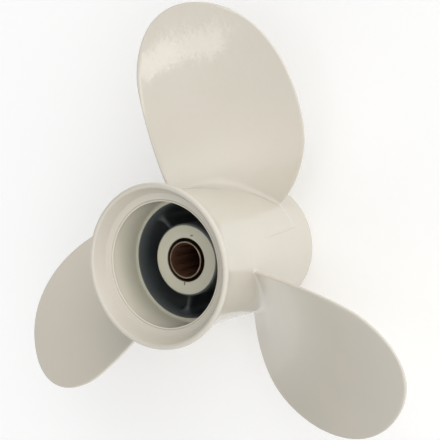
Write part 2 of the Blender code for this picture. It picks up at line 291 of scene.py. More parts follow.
# %% Black primer
PRIMER = (0.036, 0.043, 0.05, 1.0)
OVERSPRAY = (0.14, 0.156, 0.155, 1.0)
VEIL_MOST = 0.5                     # the densest patch of the thin veil deep inside
SPRAY_DEPTH = 12 * MM               # how far thick overspray reaches down the passages
DIRT_RADIUS = HUB_HOLE + 0.5 * MM   # inside it the hub's bore is all brown dirt
VEIL_SCALE, PRIMER_GRAIN_SCALE = 45.0, 600.0


def make_primer():
    """Black primer in the passages, half glossy, with a thin veil of off-white overspray."""
    material, tree, shader = new_material("black_primer", 0.5, Coat_Weight=0.3, Coat_Roughness=0.4)
    place = add_node(tree, "ShaderNodeTexCoord").outputs["Object"]
    veil = spread_range(tree, noise(tree, place, VEIL_SCALE, 3.0), 0.3, 0.7, 0.0, VEIL_MOST)
    radius, height = around_shaft(tree, place)
    spray = spread_range(tree, height, LEDGE_Z - SPRAY_DEPTH, LEDGE_Z, 0.0, 1.0)
    color = mix_colors(tree, calc(tree, "MAXIMUM", veil, spray), PRIMER, OVERSPRAY)
    dirt = spread_range(tree, radius, HUB_BORE, DIRT_RADIUS, 0.0, 1.0)
    tree.links.new(mix_colors(tree, dirt, color, STAIN), shader.inputs["Base Color"])
    add_bump(tree, shader, noise(tree, place, PRIMER_GRAIN_SCALE, 2.0), 0.25, 0.1 * MM)
    return material


primer = make_primer()
print("made", primer.name)

# %% Rubber
RUBBER = (0.04, 0.026, 0.016, 1.0)
RUBBER_BLOOM = (0.07, 0.046, 0.03, 1.0)
BLOOM_SCALE, RUBBER_SHEEN_SCALE = 120.0, 260.0
RUBBER_SHEEN = (0.5, 0.75)


def make_rubber():
    """Moulded black rubber with a brown bloom."""
    material, tree, shader = new_material("moulded_rubber", 0.6)
    place = add_node(tree, "ShaderNodeTexCoord").outputs["Object"]
    bloom = spread_range(tree, noise(tree, place, BLOOM_SCALE, 4.0), 0.4, 0.7, 0.0, 1.0)
    tree.links.new(mix_colors(tree, bloom, RUBBER, RUBBER_BLOOM), shader.inputs["Base Color"])
    rough = spread_range(tree, noise(tree, place, RUBBER_SHEEN_SCALE, 3.0), 0.3, 0.7, *RUBBER_SHEEN)
    tree.links.new(rough, shader.inputs["Roughness"])
    add_bump(tree, shader, bloom, 0.3, 0.2 * MM)
    return material


rubber = make_rubber()
print("made", rubber.name)

# %% Brass
BRASS = (0.46, 0.37, 0.28, 1.0)
BRASS_TARNISHED = (0.28, 0.21, 0.155, 1.0)
GREASE = (0.08, 0.036, 0.02, 1.0)
GREASE_EDGE = (8.6 * MM, 8.4 * MM)  # the sleeve's bore is full of old brown grease, inside this radius
GREASE_DULL = 0.35                  # added to the roughness
TARNISH_SCALE = 170.0
BROACH_SCALES = (900.0, 900.0, 40.0)    # the tool's lines run along the shaft
BRASS_SHEEN = (0.3, 0.45)


def make_brass():
    """Sleeve brass, turned and broached, gone brown in the bore."""
    material, tree, shader = new_material("sleeve_brass", 0.34, Specular_IOR_Level=0.2)
    place = add_node(tree, "ShaderNodeTexCoord").outputs["Object"]
    tarnish = spread_range(tree, noise(tree, place, TARNISH_SCALE, 4.0), 0.35, 0.65, 0.0, 1.0)
    color = mix_colors(tree, tarnish, BRASS, BRASS_TARNISHED)
    grease = spread_range(tree, around_shaft(tree, place)[0], *GREASE_EDGE, 0.0, 1.0)
    tree.links.new(mix_colors(tree, grease, color, GREASE), shader.inputs["Base Color"])
    tree.links.new(spread_range(tree, grease, 0.0, 1.0, 1.0, 0.0), shader.inputs["Metallic"])
    stretched = add_node(tree, "ShaderNodeMapping", {"Vector": place, "Scale": BROACH_SCALES})
    lines = noise(tree, stretched.outputs[0], 1.0, 2.0)
    rough = spread_range(tree, lines, 0.3, 0.7, *BRASS_SHEEN)
    tree.links.new(calc(tree, "MULTIPLY_ADD", grease, GREASE_DULL, rough), shader.inputs["Roughness"])
    add_bump(tree, shader, lines, 0.3, 0.05 * MM)
    return material


brass = make_brass()
print("made", brass.name)

# %% [markdown]
# ## A blade, laid flat
#
# A propeller blade looks hard to model, and sculpting or bending it by hand would be. But it follows a rule:
# it is a flat outline with some thickness, twisted along a helix. So the blade is first built lying flat, in
# three plain coordinates: u along the section, v across its thickness, and h, the height above the barrel.
# In these coordinates the barrel is just a flat plate at h = 0 and the blade stands on it, which makes the
# root fillets easy to work out. A Geometry Nodes tree then rolls the plate into a barrel and twists the
# blade.
#
# The outline is a chain of Bezier segments, which need few points. A Coons patch fills it: each point is
# blended from the four sides. A plain grid cut to the outline would leave ragged edges, and this gives neat
# rows and columns that follow them.

# %% Curves as evenly spaced points
SEGMENT_STEPS = 60                  # along each Bezier segment
OUTLINE_STEPS = 800                 # along the whole outline, evenly


def bezier(anchor, after, before, end, steps):
    """Points along one Bezier segment, without its last point."""
    t = np.arange(steps)[:, None] / steps
    corners = [np.array(p, float) for p in (anchor, after, before, end)]
    weights = ((1 - t) ** 3, 3 * t * (1 - t) ** 2, 3 * t ** 2 * (1 - t), t ** 3)
    return sum(w * c for w, c in zip(weights, corners))


def along(path):
    """Each point's share of the way along a path."""
    steps = np.linalg.norm(np.diff(path, axis=0), axis=1)
    total = np.concatenate([[0.0], np.cumsum(steps)])
    return total / total[-1]


def at(path, share):
    """Points at shares of the way along a path."""
    way = along(path)
    return np.stack([np.interp(share, way, path[:, k]) for k in range(path.shape[1])], axis=-1)


def sideways(path, closed=False):
    """Unit vectors to the left of a path at each point, averaged from the two edges that meet there."""
    nxt = np.roll(path, -1, axis=0) - path
    if not closed:
        nxt[-1] = nxt[-2]
    nxt /= np.linalg.norm(nxt, axis=1)[:, None]
    prev = np.roll(nxt, 1, axis=0)
    if not closed:
        prev[0] = nxt[0]
    both = nxt + prev
    both /= np.linalg.norm(both, axis=1)[:, None]
    return np.stack([-both[:, 1], both[:, 0]], axis=1)


def whole_outline():
    """The blade's outline from root to root, by way of the tip."""
    rows = list(OUTLINE.values())
    pieces = [bezier(a[0], a[2], b[1], b[0], SEGMENT_STEPS) for a, b in zip(rows, rows[1:])]
    path = np.concatenate(pieces + [np.array([rows[-1][0]])]) * MM
    return at(path, np.linspace(0, 1, OUTLINE_STEPS + 1))


outline = whole_outline()
print("outline points:", len(outline), "widest chord:", round(float(np.ptp(outline[:, 0])), 4))

# %% The four sides of the flat blade
EDGE_RADIUS = EDGE_THICKNESS / 2
LEADING_SHARE, TRAILING_SHARE = 0.4125, 0.6375     # where the tip's side starts and ends on the outline

inner_line = outline - sideways(outline) * (EDGE_RADIUS + INSET)
way = along(outline)
leading = inner_line[way <= LEADING_SHARE]
tip_side = inner_line[(way >= LEADING_SHARE) & (way <= TRAILING_SHARE)]
trailing = inner_line[way >= TRAILING_SHARE][::-1]
outward = {"leading": sideways(leading), "tip": sideways(tip_side), "trailing": -sideways(trailing)}


def patch(s, t):
    """The flat blade's (u, radius) at shares s of the chord and t of the height."""
    lead, trail, tip = at(leading, t), at(trailing, t), at(tip_side, s)
    s, t = s[..., None], t[..., None]
    root_a, root_b = leading[0], trailing[0]
    base = root_a + (root_b - root_a) * s
    corners = (1 - t) * base + t * ((1 - s) * tip_side[0] + s * tip_side[-1])
    return (1 - s) * lead + s * trail + (1 - t) * base + t * tip - corners


def side_line(side, t, bulge):
    """Points beside a side of the blade, pushed outwards by a distance, where the edge is rounded."""
    path = {"leading": leading, "tip": tip_side, "trailing": trailing}[side]
    normals = outward[side]
    share = along(path)
    push = np.stack([np.interp(t, share, normals[:, k]) for k in range(2)], axis=-1)
    return at(path, t) + push * bulge


print("sides:", len(leading), len(tip_side), len(trailing), "points")

# %% [markdown]
# ## Thickness and rounded edges
#
# The aft face, which pushes the water, is almost flat. The front face is crowned. The thickness falls from
# the root to the tip, and a small half circle rounds the edges all the way round. The blade is a set of
# stations round its section. Each station is a column that climbs from inside the barrel to the tip.
#
# The leading corner of the root leans forward a little, past a soft fold that runs from the root to the
# leading edge, and a low bead lies along the fold. Both are heights added to the columns, since moving
# points by a rule keeps the mesh even, where a cut or a sculpting brush would not.


# %% The thickness
def thickness(s, radius):
    """The blade's thickness at a share of the chord and a radius."""
    share = np.clip((radius - BLADE_ROOT) / (TIP_RADIUS - BLADE_ROOT), 0, 1)
    middle = ROOT_THICKNESS + (TIP_THICKNESS - ROOT_THICKNESS) * share ** THICKNESS_TAPER
    return EDGE_THICKNESS + (middle - EDGE_THICKNESS) * np.sin(np.pi * s) ** SECTION_CROWN


print("half way along the chord:", thickness(0.5, BLADE_ROOT), "at the root,", thickness(0.5, TIP_RADIUS),
      "at the tip")

# %% The fold and its bead
FOLD_ROOT, FOLD_EDGE = (5.1 * MM, 40.8 * MM), (-49.4 * MM, 78.8 * MM)      # the ends of the fold: u, radius
FOLD_ANGLE = 2.8                    # degrees, where it is steepest
FOLD_STEEP = (0, 2.5 * MM)          # the distance past the fold over which it gets steep
FOLD_EASE = (6 * MM, 14 * MM)       # and over which most of the steepness goes
FOLD_EASED = 0.8                    # the share that goes
FOLD_FADE = (15 * MM, 45 * MM)      # along the fold, over which it gets lower
FOLD_FADED = 0.7                    # by this share
FOLD_CORNER = 1.5 * MM              # how softly the fold turns down beside the root
FOLD_REACH, FOLD_STEPS = 60 * MM, 600       # of the profile, past the fold
BEAD_HEIGHT, BEAD_WIDTH = 0.05 * MM, 1.8 * MM
BEAD_BEFORE = 1.0 * MM              # from the bead to the fold
BEAD_FADE = (24 * MM, 46 * MM)      # along the fold


def smooth(value, low, high):
    """0 below low, 1 above high, and an even change between."""
    t = np.clip((value - low) / (high - low), 0, 1)
    return t * t * (3 - 2 * t)


def past_fold(flat):
    """How far (u, radius) points lie past the fold, and how far along it."""
    start, end = np.array(FOLD_ROOT), np.array(FOLD_EDGE)
    line = (end - start) / np.linalg.norm(end - start)
    slanting = (flat - start) @ np.array([-line[1], line[0]])
    ahead = start[0] - flat[:, 0]
    both = np.logaddexp(-slanting / FOLD_CORNER, -ahead / FOLD_CORNER)
    return -FOLD_CORNER * both, (flat - start) @ line


def fold_profile():
    """The fold's section: distances past the fold, and how far the face has dropped there."""
    beyond = np.linspace(0, FOLD_REACH, FOLD_STEPS + 1)
    slope = smooth(beyond, *FOLD_STEEP) * (1 - FOLD_EASED * smooth(beyond, *FOLD_EASE))
    slope *= math.tan(math.radians(FOLD_ANGLE))
    steps = (slope[1:] + slope[:-1]) / 2 * np.diff(beyond)
    return beyond, np.concatenate([[0.0], np.cumsum(steps)])


FOLD_PROFILE = fold_profile()


def nose_drop(flat):
    """How far the leading corner of the root leans forward at (u, radius) points."""
    beyond, onward = past_fold(flat)
    return np.interp(beyond, *FOLD_PROFILE) * (1 - FOLD_FADED * smooth(onward, *FOLD_FADE))


def bead(flat):
    """The height of the low bead along the fold on the aft face."""
    beyond, onward = past_fold(flat)
    height = BEAD_HEIGHT * np.exp(-((beyond + BEAD_BEFORE) / BEAD_WIDTH) ** 2)
    return height * (1 - smooth(onward, *BEAD_FADE))


print("the root's leading corner leans forward by", nose_drop(leading[:1])[0].round(5))

# %% Stations round the section
CHORD_STEPS = 46
EDGE_STEPS = 8                      # round the half circle of an edge
CLIMB = np.linspace(0, 1, 400)      # fine steps for reading a column


def face_column(s, front):
    """A column on the aft or front face: (u, v, h) at each step of the climb."""
    flat = patch(np.full_like(CLIMB, s), CLIMB)
    v = EDGE_RADIUS - nose_drop(flat)
    if front:
        v = v - thickness(s, flat[:, 1])
    else:
        v = v + bead(flat)
    return np.stack([flat[:, 0], v, flat[:, 1] - BARREL_MEAN], axis=1)


def edge_column(side, angle):
    """A column on a rounded edge, at an angle from the aft face (0) to the front face (pi)."""
    flat = side_line(side, CLIMB, EDGE_RADIUS * math.sin(angle))
    v = EDGE_RADIUS * math.cos(angle) - nose_drop(flat)
    return np.stack([flat[:, 0], v, flat[:, 1] - BARREL_MEAN], axis=1)


chord = np.linspace(0, 1, CHORD_STEPS + 1)
turns = [math.pi * k / EDGE_STEPS for k in range(1, EDGE_STEPS)]
columns = [face_column(s, False) for s in chord]
columns += [edge_column("trailing", a) for a in turns]
columns += [face_column(s, True) for s in chord[::-1]]
columns += [edge_column("leading", a) for a in turns[::-1]]
columns = np.array(columns)
inside = np.concatenate([chord, np.ones(len(turns)), chord[::-1], np.zeros(len(turns))])
print("stations:", len(columns), "each with", columns.shape[1], "steps")

# %% [markdown]
# ## Root fillets
#
# A casting has no sharp inner corners, so each column is bent out onto the plate with a conic curve. It
# leaves the column along its own direction and meets the plate flat, so the paint's reflection runs over
# it without a break. The fillet is tallest near the middle of the blade, a little towards its trailing
# edge, and small at both edges. A Bevel modifier rounds such corners too, but with one size all along.

# %% Fillets between a loop of columns and a plate
FILLET_STEPS = 10
FILLET_ROUNDNESS = 0.72
FILLET_LEADING, FILLET_TRAILING = 2.4 * MM, 1.3 * MM
FILLET_TALLEST = 5.2 * MM
FILLET_PLACE = 0.56                 # of the tallest fillet, as a share of the chord
FILLET_SPREADS = (0.28, 0.20)       # towards the leading and towards the trailing edge
SLOPE_STEP = 0.01                   # of the climb, for reading a column's slope


def conic(top, corner, foot, steps, roundness):
    """Rows of points on conic curves from top to foot, drawn towards their corners."""
    rows = []
    for t in np.linspace(0, 1, steps + 1):
        a, b, c = (1 - t) ** 2, 2 * t * (1 - t) * roundness, t * t
        rows.append((a * top + b * corner + c * foot) / (a + b + c))
    return rows


def at_climb(column, shares):
    """A column's points at shares of the climb."""
    return np.stack([np.interp(shares, CLIMB, column[:, k]) for k in range(3)], axis=-1)


def column_tops(heights):
    """Where each column reaches its fillet's height: its share of the climb, its point and its slope."""
    shares, points, slopes = [], [], []
    for column, height in zip(columns, heights):
        share = np.interp(height, column[:, 2], CLIMB)
        below, point, above = at_climb(column, np.array([share - SLOPE_STEP, share, share + SLOPE_STEP]))
        shares.append(share)
        points.append(point)
        slopes.append((above - below) / (above[2] - below[2]))
    return np.array(shares), np.array(points), np.array(slopes)


def loop_normals(loop):
    """Unit vectors that point out of a loop of (u, v, h) points, along the plate."""
    flat = sideways(loop[:, :2], closed=True)
    return np.column_stack([flat, np.zeros(len(flat))])


fillet_size = FILLET_LEADING + (FILLET_TRAILING - FILLET_LEADING) * inside
fillet_spread = np.where(inside < FILLET_PLACE, *FILLET_SPREADS)
fillet_size += (FILLET_TALLEST - fillet_size) * np.exp(-((inside - FILLET_PLACE) / fillet_spread) ** 2)
top_share, top_point, top_slope = column_tops(fillet_size)
corner_point = top_point - top_slope * top_point[:, 2:3]
foot_normal = loop_normals(corner_point)
foot_point = corner_point + foot_normal * fillet_size[:, None]
fillet_rows = conic(top_point, corner_point, foot_point, FILLET_STEPS, FILLET_ROUNDNESS)
print("fillet from", fillet_size.min().round(5), "to", fillet_size.max().round(5))

# %% All rings of one blade, from the plate to the tip
BLADE_ROWS = 60
APRON = (1.8 * MM, 0.9 * MM)        # two more rings on the plate, outside the fillet

rings = [foot_point + foot_normal * d for d in APRON] + fillet_rows[::-1]
for share in np.linspace(0, 1, BLADE_ROWS + 1)[1:]:
    climb = top_share + (1 - top_share) * share
    rings.append(np.array([at_climb(column, c) for column, c in zip(columns, climb)]))
print("rings:", len(rings), "of", len(rings[0]), "points")


# %% A skin over the rings, and the rounded tip
def lofted(rings):
    """Points and faces of a skin over closed rings of equal size."""
    count = len(rings[0])
    points = [tuple(p) for ring in rings for p in ring]
    faces = []
    for low in range(0, count * (len(rings) - 1), count):
        for i in range(count):
            n = (i + 1) % count
            faces.append((low + i, low + n, low + count + n, low + count + i))
    return points, faces


def rounded_tip(points):
    """The strip that closes the blade's tip, rounded from face to face. It adds its points to the list."""
    count = len(rings[0])
    last = (len(rings) - 1) * count
    front_start = last + CHORD_STEPS + 1 + len(turns)
    strips, faces = [], []
    for i in range(CHORD_STEPS + 1):
        aft, front = last + i, front_start + CHORD_STEPS - i
        if i == 0:
            middle = [last + count - 1 - k for k in range(len(turns))]
        elif i == CHORD_STEPS:
            middle = [last + CHORD_STEPS + 1 + k for k in range(len(turns))]
        else:
            middle = list(range(len(points), len(points) + len(turns)))
            half = (points[aft][1] - points[front][1]) / 2
            for angle in turns:
                u, radius = side_line("tip", chord[i], EDGE_RADIUS * math.sin(angle))
                points.append((u, points[aft][1] - half * (1 - math.cos(angle)), radius - BARREL_MEAN))
        strips.append([aft] + middle + [front])
    for a, b in zip(strips, strips[1:]):
        faces += [(a[k], b[k], b[k + 1], a[k + 1]) for k in range(len(a) - 1)]
    return faces


blade_points, blade_faces = lofted(rings)
blade_faces += rounded_tip(blade_points)
print("blade:", len(blade_points), "points,", len(blade_faces), "faces")

# %% [markdown]
# ## The plate that the blade stands on
#
# Between the fillet's foot and the straight borders of one third of the barrel lies an odd shape. One large
# face could fill it, but it has to bend later. So a constrained Delaunay triangulation fills it with small,
# even triangles. The borders get evenly spaced points, so that the three thirds meet point to point when
# they are rolled up, and the lip and the rim can join them too.

# %% A plate with a hole in it
ROW_STEP = 0.866                    # between rows of even triangles, in spacings
ROW_SHIFTS = (0.75, 0.25)           # where the rows start, by turns, in spacings
CLEAR_OF_HOLE, CLEAR_OF_EXTRA, CLEAR_OF_SIDE = 0.75, 0.6, 0.3   # for the even points, in spacings
MERGE_IN_MM = 1e-5


def is_inside(points, loop):
    """Which points lie inside a closed loop, by counting crossings."""
    x, y = points[:, 0][:, None], points[:, 1][:, None]
    a, b = loop, np.roll(loop, -1, axis=0)
    crosses = (a[:, 1] > y) != (b[:, 1] > y)
    rise = np.where(a[:, 1] == b[:, 1], 1.0, b[:, 1] - a[:, 1])
    left = x < (b[:, 0] - a[:, 0]) * (y - a[:, 1]) / rise + a[:, 0]
    return (crosses & left).sum(axis=1) % 2 == 1


def plate(left, right, low, high, sides, hole, spacing, extra=()):
    """Triangles over a rectangle, except inside a hole: (points, faces). Extra points make it denser."""
    across = np.linspace(left, right, sides + 1)
    up = np.linspace(low, high, max(2, round((high - low) / spacing)) + 1)
    border = [(x, low) for x in across] + [(right, y) for y in up[1:-1]]
    border += [(x, high) for x in across[::-1]] + [(left, y) for y in up[-2:0:-1]]
    rows = np.linspace(low, high, max(2, round((high - low) / spacing / ROW_STEP)) + 1)[1:-1]
    inner = []
    for k, y in enumerate(rows):
        start = left + spacing * ROW_SHIFTS[k % 2]
        inner += [(x, y) for x in np.arange(start, right - CLEAR_OF_SIDE * spacing, spacing)]
    inner = np.array(inner)
    if len(extra):
        clear = np.linalg.norm(inner[:, None] - extra[None], axis=2).min(axis=1)
        inner = np.concatenate([inner[clear > CLEAR_OF_EXTRA * spacing], extra])
    gaps = np.linalg.norm(inner[:, None] - hole[None], axis=2).min(axis=1)
    inner = inner[(gaps > CLEAR_OF_HOLE * spacing) & ~is_inside(inner, hole)]
    points = np.concatenate([np.array(border), hole, inner]) / MM
    edges = [(i, (i + 1) % len(border)) for i in range(len(border))]
    start = len(border)
    edges += [(start + i, start + (i + 1) % len(hole)) for i in range(len(hole))]
    found = geometry.delaunay_2d_cdt([Vector(p) for p in points], edges, [], 0, MERGE_IN_MM)
    points = np.array([tuple(p) for p in found[0]]) * MM
    faces = np.array([f for f in found[2] if len(f) == 3])
    middles = points[faces].mean(axis=1)
    return points, faces[~is_inside(middles, hole)]


print("even rows of triangles lie", ROW_STEP, "spacings apart")

# %% The blade's own plate
SIDES = 85                          # steps round a third of the barrel
SECTOR_START = 10.0                 # degrees, where the first third of the barrel starts
PLATE_SPACING = 0.85 * MM
PARTING_LINE = ((25.5, 14.3), (24.0, 21.8), (22.1, 33.6), (20.5, 50.9), (17.0, 65.0))   # degrees, mm
PARTING_FADE = (34 * MM, 54 * MM)   # the heights over which its step fades
PARTING_ROWS = (-0.5, -0.1, 0.15, 0.4, 0.65, 1.1)      # mm, beside the line
PARTING_SPACING = 0.7               # mm, along the line


def lead_angle(radius):
    """The helix angle at a radius."""
    pitch = PITCH - PITCH_LOSS * (radius - PITCH_RADIUS)
    return math.atan2(pitch, 2 * math.pi * radius)


def parting_rows():
    """Rows of plate points along the mould's parting line, so that its step can be crisp."""
    z = np.arange(PARTING_LINE[0][1] - 1, PARTING_FADE[1] / MM, PARTING_SPACING) * MM
    line = np.array(PARTING_LINE) * (1, MM)
    arc = np.radians(np.interp(z, line[:, 1], line[:, 0]) - BLADE_ANGLE) * BARREL_MEAN
    return np.concatenate([np.stack([arc + row * MM, z], axis=1) for row in PARTING_ROWS])


ROOT_LEAD = lead_angle(BARREL_MEAN)
ROOT_BEYOND = BARREL_MEAN - BLADE_ROOT
ROOT_Z = BLADE_Z + RAKE * ROOT_BEYOND + RAKE_CURVE * ROOT_BEYOND ** 2


def to_plate(points, lead, height):
    """(u, v) on the plate to (arc round the barrel, height along the shaft)."""
    u, v = points[:, 0], points[:, 1]
    x = u * math.cos(lead) - v * math.sin(lead)
    z = u * math.sin(lead) + v * math.cos(lead) + height
    return np.stack([x, z], axis=1)


def from_plate(points, lead, height, h=0.0):
    """The way back, to (u, v, h)."""
    x, z = points[:, 0], points[:, 1] - height
    u = x * math.cos(lead) + z * math.sin(lead)
    v = -x * math.sin(lead) + z * math.cos(lead)
    return np.stack([u, v, np.full(len(u), h)], axis=1)


start_arc = math.radians(SECTOR_START - BLADE_ANGLE) * BARREL_MEAN
end_arc = start_arc + math.radians(360 / BLADES) * BARREL_MEAN
hole = to_plate(rings[0], ROOT_LEAD, ROOT_Z)
plate_points, plate_faces = plate(start_arc, end_arc, RIM_EDGE, NECK_Z, SIDES, hole, PLATE_SPACING,
                                  parting_rows())
print("plate:", len(plate_points), "points,", len(plate_faces), "triangles")

# %% [markdown]
# ## Marks of the mould
#
# The two halves of the mould meet along a line that climbs the barrel from the leading edge of one blade to
# the trailing edge of the next. The casting shows it: the aft half stands out by under a millimetre beside
# the leading root, with an edge that fades towards the mouth, and a faint ridge runs on to the next blade.
#
# A bump in the paint would show no step from the side. So each point of the flat mesh gets a number, its
# relief, which the next tree adds to its distance from the shaft.

# %% The mould's parting line
PARTING_STEP = 0.75 * MM
PARTING_SOFT = 0.9 * MM             # the width of the step
PARTING_FRONT = 5.0 * MM            # the width of its soft border in front
RIDGE_HEIGHT, RIDGE_WIDTH = 0.09 * MM, 0.8 * MM
RIDGE_START, RIDGE_FADE, RIDGE_END = 1.0, 17.0, 20.0    # degrees on from the line's end
RELIEF_REACH = 3.5 * MM             # how far up the fillets it is felt


def relief(points):
    """How far the casting stands out at (u, v, h) points.

    The step lies beside the parting line. In front it ends softly, along a line from the parting line's foot
    to the blade's leading root, and then along the blade. The ridge runs on from the parting line's top.
    """
    place = to_plate(points, ROOT_LEAD, ROOT_Z)
    angle = BLADE_ANGLE + np.degrees(place[:, 0] / BARREL_MEAN)
    z = place[:, 1]
    line = np.array(PARTING_LINE) * (1, MM)
    beside = np.radians(angle - np.interp(z, line[:, 1], line[:, 0])) * BARREL_MEAN
    lead_root = to_plate(corner_point[-len(turns) // 2][None], ROOT_LEAD, ROOT_Z)[0]
    root_angle = BLADE_ANGLE + math.degrees(lead_root[0] / BARREL_MEAN)
    front = np.interp(angle, [line[0, 0], root_angle], [line[0, 1], lead_root[1]])
    above = np.where(angle < root_angle, z - front, points[:, 1])
    step = PARTING_STEP * (1 - smooth(z, *PARTING_FADE))
    step *= smooth(beside, 0, PARTING_SOFT) * smooth(above, 0, PARTING_FRONT)
    onward = (line[-1, 0] - angle) % (360 / BLADES)
    ridge = RIDGE_HEIGHT * np.exp(-((z - line[-1, 1]) / RIDGE_WIDTH) ** 2)
    ridge *= smooth(onward, 0, RIDGE_START) * (1 - smooth(onward, RIDGE_FADE, RIDGE_END))
    near = 1 - smooth(points[:, 2], 0, RELIEF_REACH)
    return (step + ridge) * near


print("parting line: a step of", PARTING_STEP / MM, "mm, which fades out", PARTING_FADE[1] / MM, "mm up")

# %% The flat blade on its flat plate
WELD = 0.005 * MM                   # points nearer than this are one point


def join_data(*groups):
    """Joins (points, faces) groups into one mesh, and merges points that meet."""
    mesh = bpy.data.meshes.new("joined")
    points, faces = [], []
    for group_points, group_faces in groups:
        start = len(points)
        points += [tuple(p) for p in group_points]
        faces += [tuple(int(i) + start for i in face) for face in group_faces]
    mesh.from_pydata(points, [], faces)
    merged = bmesh.new()
    merged.from_mesh(mesh)
    bmesh.ops.remove_doubles(merged, verts=merged.verts, dist=WELD)
    merged.to_mesh(mesh)
    merged.free()
    return mesh


flat_plate = (from_plate(plate_points, ROOT_LEAD, ROOT_Z), plate_faces)
flat_blade = join_data((blade_points, blade_faces), flat_plate)
flat_points = np.array([tuple(v.co) for v in flat_blade.vertices])
flat_blade.attributes.new("relief", "FLOAT", "POINT").data.foreach_set("value", relief(flat_points))
print("flat third:", len(flat_blade.vertices), "points,", len(flat_blade.polygons), "faces")

# %% [markdown]
# ## Rolling the plate into a barrel
#
# Now the rule that makes it a propeller. The tree reads each point's (u, v, h) and works out where it goes:
# h gives the radius, the pitch gives the helix angle there, u and v then give the turn about the shaft and
# the height along it, and the rake leans the blade aft. The barrel is slightly conical, which fades out up
# the blade. Such formulas suit Geometry Nodes well, because every size stays an input that can be changed.


# %% Helpers for Geometry Nodes
def new_tree(name, sizes, whole_numbers=()):
    """A Geometry Nodes tree with named inputs: the geometry, its sizes and a material."""
    tree = bpy.data.node_groups.new(name, "GeometryNodeTree")
    tree.is_modifier = True
    sockets = [("Geometry", "Geometry")] + [(size, "Float") for size in sizes]
    sockets += [(number, "Int") for number in whole_numbers] + [("Material", "Material")]
    for label, kind in sockets:
        tree.interface.new_socket(label, in_out="INPUT", socket_type="NodeSocket" + kind)
    tree.interface.new_socket("Geometry", in_out="OUTPUT", socket_type="NodeSocketGeometry")
    return tree, add_node(tree, "NodeGroupInput").outputs


def end_tree(tree, shape, material):
    """Ends a tree with real geometry instead of instances, in its material."""
    real = add_node(tree, "GeometryNodeRealizeInstances", {0: shape}).outputs[0]
    colored = add_node(tree, "GeometryNodeSetMaterial", {"Geometry": real, "Material": material}).outputs[0]
    add_node(tree, "NodeGroupOutput", {0: colored})


def run_modifiers(name, mesh, set_up):
    """A plain mesh, as the modifiers that set_up adds to the given one make it."""
    item = bpy.data.objects.new(name, mesh)
    bpy.context.scene.collection.objects.link(item)
    set_up(item)
    result = bpy.data.meshes.new_from_object(item.evaluated_get(bpy.context.evaluated_depsgraph_get()))
    item.modifiers.clear()
    bpy.data.objects.remove(item)
    return result


def add_tree(item, tree, inputs):
    """Adds a tree as a modifier and sets its inputs by their sockets' identifiers."""
    modifier = item.modifiers.new(tree.name, "NODES")
    modifier.node_group = tree
    for socket in tree.interface.items_tree:
        if socket.in_out == "INPUT" and socket.name in inputs:
            modifier[socket.identifier] = inputs[socket.name]


print("helpers:", *(helper.__name__ for helper in (new_tree, end_tree, run_modifiers, add_tree)))

# %% The tree that rolls and twists
ROLL_SIZES = ("Barrel radius", "Pitch", "Pitch radius", "Pitch loss", "Height", "Rake", "Rake curve",
              "Root radius", "Turn", "Front radius", "Front height", "Rear radius", "Rear height", "Fade")


def make_roll_tree():
    """Moves each (u, v, h) point to its place round the shaft."""
    tree, given = new_tree("roll_and_twist", ROLL_SIZES)
    place = add_node(tree, "GeometryNodeInputPosition").outputs[0]
    u, v, h = add_node(tree, "ShaderNodeSeparateXYZ", {0: place}).outputs

    radius = calc(tree, "ADD", given["Barrel radius"], h)
    farther = calc(tree, "SUBTRACT", radius, given["Pitch radius"])
    pitch = calc(tree, "SUBTRACT", given["Pitch"], calc(tree, "MULTIPLY", farther, given["Pitch loss"]))
    lead = calc(tree, "ARCTAN2", pitch, calc(tree, "MULTIPLY", radius, 2 * math.pi))
    sin, cos = calc(tree, "SINE", lead), calc(tree, "COSINE", lead)

    arc = calc(tree, "SUBTRACT", calc(tree, "MULTIPLY", u, cos), calc(tree, "MULTIPLY", v, sin))
    angle = calc(tree, "ADD", given["Turn"], calc(tree, "DIVIDE", arc, radius))
    beyond = calc(tree, "SUBTRACT", radius, given["Root radius"])
    slope = calc(tree, "MULTIPLY_ADD", beyond, given["Rake curve"], given["Rake"])
    along_u = calc(tree, "MULTIPLY_ADD", u, sin, given["Height"])
    along_v = calc(tree, "MULTIPLY_ADD", v, cos, along_u)
    z = calc(tree, "MULTIPLY_ADD", beyond, slope, along_v)

    wall = spread_range(tree, z, given["Front height"], given["Rear height"],
                        given["Front radius"], given["Rear radius"])
    far = calc(tree, "ABSOLUTE", h)
    fade = add_node(tree, "ShaderNodeMapRange", {0: far, 1: 0.0, 2: given["Fade"], 3: 1.0, 4: 0.0},
                    interpolation_type="SMOOTHSTEP").outputs[0]
    cone = calc(tree, "MULTIPLY_ADD", calc(tree, "SUBTRACT", wall, given["Barrel radius"]), fade, radius)
    relief_there = add_node(tree, "GeometryNodeInputNamedAttribute", {"Name": "relief"}).outputs[0]
    final = calc(tree, "ADD", cone, relief_there)

    x = calc(tree, "MULTIPLY", final, calc(tree, "COSINE", angle))
    y = calc(tree, "MULTIPLY", final, calc(tree, "SINE", angle))
    moved = add_node(tree, "ShaderNodeCombineXYZ", {0: x, 1: y, 2: z}).outputs[0]
    shape = add_node(tree, "GeometryNodeSetPosition", {"Geometry": given["Geometry"], "Position": moved})
    end_tree(tree, shape.outputs[0], given["Material"])
    return tree


roll_tree = make_roll_tree()
print("roll_and_twist:", len(roll_tree.nodes), "nodes")

# %% [markdown]
# ## Three times round the shaft
#
# The blades, the webs and the sleeve's splines all repeat round the shaft. An Array modifier could do that
# with an empty that is turned by hand for each count. One tree does it for any count: it puts an instance of
# the sector on each of some points, turns each by its share of a full turn, makes them real and welds the
# borders.


